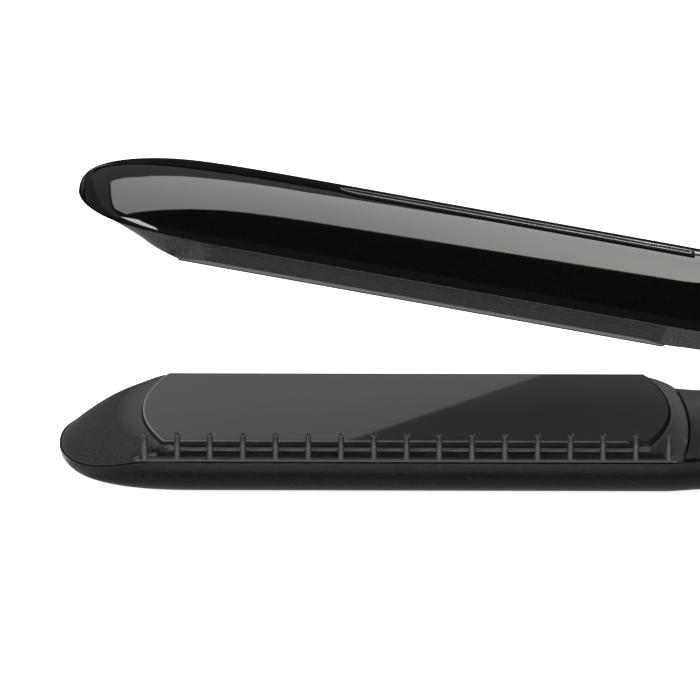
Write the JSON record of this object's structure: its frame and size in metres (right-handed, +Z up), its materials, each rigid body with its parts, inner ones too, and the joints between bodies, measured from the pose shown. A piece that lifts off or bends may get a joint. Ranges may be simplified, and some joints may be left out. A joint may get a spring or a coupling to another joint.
{
  "type": "flat iron",
  "caption": "Hair straightener with two hinged jaws, floating plates, a side comb, a sprung hinge and a turning cord outlet.",
  "frame": {"origin": "middle of the flat underside of the lower arm, halfway along the object", "axes": "+Z up from the underside, +X from the jaws' tips towards the hinge and cord outlet, the comb is on the -Y side"},
  "size_m": [0.259, 0.041, 0.0678],
  "materials": {
    "satin_black": "satin, very fine grain",
    "gloss_black": "polished",
    "charcoal": "matte, heat resistant",
    "plate_coating": "smooth ceramic coating on aluminium",
    "steel": "bare",
    "ceramic": "unglazed",
    "satin_grey": "satin",
    "smoked_lens": "clear, smoked",
    "board_green": "solder mask",
    "wire_red": "silicone insulation",
    "wire_white": "silicone insulation"
  },
  "bodies": {
    "lower_arm": {"lower_shell": "satin_black", "lower_frame": "charcoal", "lower_chassis": "charcoal", "lower_handle_cover": "charcoal", "lower_cover_screw_front": "steel", "lower_cover_screw_rear": "steel", "lower_plate_spring_front": "steel", "lower_plate_spring_rear": "steel", "lower_thermal_fuse": "steel", "lower_thermal_sensor": "ceramic", "lower_lead_live": "wire_red", "lower_lead_neutral": "wire_white", "hinge_block": "charcoal", "hinge_pin": "steel", "hinge_spring": "steel", "hinge_cap_left": "steel", "hinge_cap_right": "steel"},
    "upper_arm": {"upper_shell": "gloss_black", "upper_frame": "charcoal", "upper_chassis": "charcoal", "upper_handle_cover": "charcoal", "upper_cover_screw_front": "steel", "upper_cover_screw_rear": "steel", "upper_plate_spring_front": "steel", "upper_plate_spring_rear": "steel", "upper_thermal_sensor": "ceramic", "upper_lead_live": "wire_red", "upper_lead_neutral": "wire_white", "hinge_ear_left": "charcoal", "hinge_ear_right": "charcoal", "lock_catch": "charcoal", "top_inlay": "satin_black", "control_panel": "satin_grey", "display_lens": "smoked_lens", "circuit_board": "board_green", "control_chip": "satin_black", "minus_switch": "steel", "plus_switch": "steel", "power_switch": "steel"},
    "lower_plate_group": {"lower_plate": "plate_coating", "lower_heater": "ceramic", "lower_heater_clip": "steel"},
    "upper_plate_group": {"upper_plate": "plate_coating", "upper_heater": "ceramic", "upper_heater_clip": "steel"},
    "comb": {"comb": "satin_black"},
    "lock_slider": {"lock_slider": "satin_grey"},
    "cord_swivel": {"cord_swivel": "satin_black"},
    "minus_button": {"minus_button": "satin_black"},
    "plus_button": {"plus_button": "satin_black"},
    "power_button": {"power_button": "satin_black"}
  },
  "joints": [
    {"name": "arm_hinge", "type": "hinge", "parent": "lower_arm", "child": "upper_arm", "pos_m": [0.1055, 0, 0.0135], "axis": [0, 1, 0], "range_deg": [-10.7, 0], "stiffness_Nm_per_rad": 0.4, "springref_deg": 42.97},
    {"name": "lower_plate_float", "type": "slide", "parent": "lower_arm", "child": "lower_plate_group", "axis": [0, 0, -1], "range_m": [0, 0.0008], "stiffness_N_per_m": 2000, "springref_m": -0.001},
    {"name": "upper_plate_float", "type": "slide", "parent": "upper_arm", "child": "upper_plate_group", "axis": [0.1874, 0, 0.9823], "range_m": [0, 0.0008], "stiffness_N_per_m": 2000, "springref_m": -0.001},
    {"name": "comb_pull_off", "type": "slide", "parent": "lower_arm", "child": "comb", "axis": [0, -1, 0], "range_m": [0, 0.015]},
    {"name": "lock_slide", "type": "slide", "parent": "lower_arm", "child": "lock_slider", "axis": [-1, 0, 0], "range_m": [0, 0.004]},
    {"name": "cord_turn", "type": "hinge", "parent": "lower_arm", "child": "cord_swivel", "pos_m": [0.1225, 0, 0.00495], "axis": [1, 0, 0], "continuous": true},
    {"name": "minus_press", "type": "slide", "parent": "upper_arm", "child": "minus_button", "axis": [-0.1874, 0, -0.9823], "range_m": [0, 0.0006], "stiffness_N_per_m": 400, "springref_m": -0.0005},
    {"name": "plus_press", "type": "slide", "parent": "upper_arm", "child": "plus_button", "axis": [-0.1874, 0, -0.9823], "range_m": [0, 0.0006], "stiffness_N_per_m": 400, "springref_m": -0.0005},
    {"name": "power_press", "type": "slide", "parent": "upper_arm", "child": "power_button", "axis": [-0.1874, 0, -0.9823], "range_m": [0, 0.0006], "stiffness_N_per_m": 400, "springref_m": -0.0005}
  ]
}
